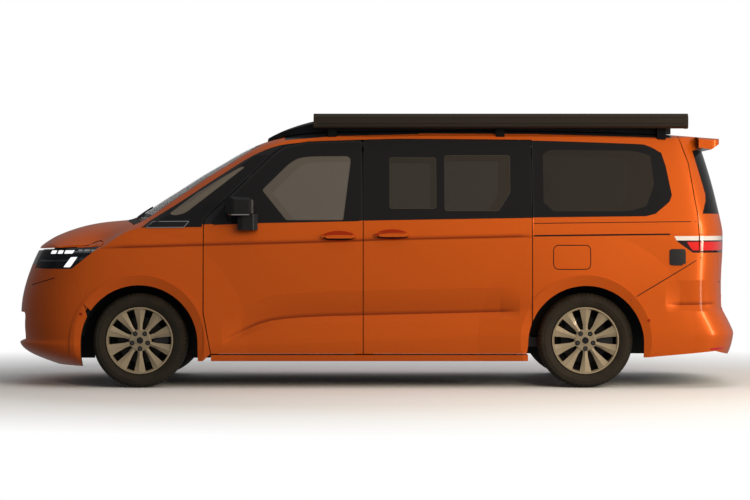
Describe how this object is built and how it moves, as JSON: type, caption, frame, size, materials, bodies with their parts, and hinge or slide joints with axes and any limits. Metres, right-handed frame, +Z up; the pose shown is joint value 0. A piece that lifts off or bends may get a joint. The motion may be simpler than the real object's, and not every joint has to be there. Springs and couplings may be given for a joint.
{
  "type": "camper van",
  "caption": "Camper van with pop-up roof, awning case, opening doors, bonnet and tailgate, steered front wheels and four rolling wheels.",
  "frame": {"origin": "on the ground, under the middle of the van's length and width", "axes": "+X towards the tail, +Y towards the van's right side, +Z up"},
  "size_m": [5.1741, 2.2512, 1.9485],
  "materials": {
    "paint": "metallic gloss",
    "black_glass": "gloss",
    "clear_glass": "gloss",
    "black_gloss": "gloss",
    "black_plastic": "matte",
    "tyre": "matte",
    "alloy": "satin",
    "steel": "satin",
    "lamp_clear": "gloss",
    "lamp_red": "gloss",
    "awning_grey": "satin",
    "underbody": "satin",
    "interior": "matte",
    "seat_cloth": "matte",
    "cabinet": "matte",
    "canvas": "matte"
  },
  "bodies": {
    "root": {"floor": "underbody", "wheel_wells": "underbody", "chassis_rails": "underbody", "body_side_left": "paint", "body_side_right": "paint", "roof_panel": "paint", "front_fenders": "paint", "front_bumper": "paint", "grille": "black_plastic", "rear_bumper": "paint", "cowl": "black_plastic", "windscreen": "clear_glass", "side_glass": "black_glass", "sliding_door_left": "paint", "sliding_door_right": "paint", "sliding_door_glass": "black_glass", "headlamps": "lamp_clear", "tail_lamps": "lamp_red", "wipers": "black_plastic", "awning": "awning_grey", "engine": "steel", "front_subframe": "steel", "rear_axle": "steel", "exhaust": "steel", "fuel_tank": "black_plastic", "dashboard": "interior", "steering_wheel": "interior", "front_seats": "seat_cloth", "rear_bench": "seat_cloth", "kitchen_unit": "cabinet", "roof_canvas": "canvas"},
    "front_left_steer": {"front_left_knuckle": "steel"},
    "front_right_steer": {"front_right_knuckle": "steel"},
    "front_left_wheel": {"front_left_tyre": "tyre", "front_left_rim": "alloy"},
    "front_right_wheel": {"front_right_tyre": "tyre", "front_right_rim": "alloy"},
    "rear_left_wheel": {"rear_left_tyre": "tyre", "rear_left_rim": "alloy"},
    "rear_right_wheel": {"rear_right_tyre": "tyre", "rear_right_rim": "alloy"},
    "front_left_door": {"front_left_door": "paint", "front_left_door_glass": "clear_glass"},
    "front_right_door": {"front_right_door": "paint", "front_right_door_glass": "clear_glass"},
    "tailgate": {"tailgate": "paint", "tailgate_glass": "black_glass", "tailgate_lamps": "lamp_red"},
    "bonnet": {"bonnet": "paint"},
    "pop_roof": {"pop_roof": "black_gloss"}
  },
  "joints": [
    {"name": "front_left_steering", "type": "hinge", "parent": "root", "child": "front_left_steer", "pos_m": [-1.6485, -0.735, 0.332], "axis": [0, 0, 1], "range_deg": [-33, 33]},
    {"name": "front_right_steering", "type": "hinge", "parent": "root", "child": "front_right_steer", "pos_m": [-1.6485, 0.735, 0.332], "axis": [0, 0, 1], "range_deg": [-33, 33]},
    {"name": "front_left_spin", "type": "hinge", "parent": "front_left_steer", "child": "front_left_wheel", "pos_m": [-1.6485, -0.82, 0.332], "axis": [0, 1, 0], "continuous": true},
    {"name": "front_right_spin", "type": "hinge", "parent": "front_right_steer", "child": "front_right_wheel", "pos_m": [-1.6485, 0.82, 0.332], "axis": [0, 1, 0], "continuous": true},
    {"name": "rear_left_spin", "type": "hinge", "parent": "root", "child": "rear_left_wheel", "pos_m": [1.4755, -0.82, 0.332], "axis": [0, 1, 0], "continuous": true},
    {"name": "rear_right_spin", "type": "hinge", "parent": "root", "child": "rear_right_wheel", "pos_m": [1.4755, 0.82, 0.332], "axis": [0, 1, 0], "continuous": true},
    {"name": "front_left_door_hinge", "type": "hinge", "parent": "root", "child": "front_left_door", "pos_m": [-1.1, -0.94, 0.238], "axis": [0, 0, -1], "range_deg": [0, 65]},
    {"name": "front_right_door_hinge", "type": "hinge", "parent": "root", "child": "front_right_door", "pos_m": [-1.1, 0.94, 0.238], "axis": [0, 0, 1], "range_deg": [0, 65]},
    {"name": "tailgate_hinge", "type": "hinge", "parent": "root", "child": "tailgate", "pos_m": [2.15, 0, 1.793], "axis": [0, -1, 0], "range_deg": [0, 85]},
    {"name": "bonnet_hinge", "type": "hinge", "parent": "root", "child": "bonnet", "pos_m": [-1.692, 0, 1.172], "axis": [0, 1, 0], "range_deg": [0, 50]},
    {"name": "pop_roof_hinge", "type": "hinge", "parent": "root", "child": "pop_roof", "pos_m": [2.092, 0, 1.822], "axis": [0, 1, 0], "range_deg": [0, 20]}
  ],
  "couplings": [
    {"joint": "front_right_steering", "follows": "front_left_steering", "ratio": 1}
  ]
}
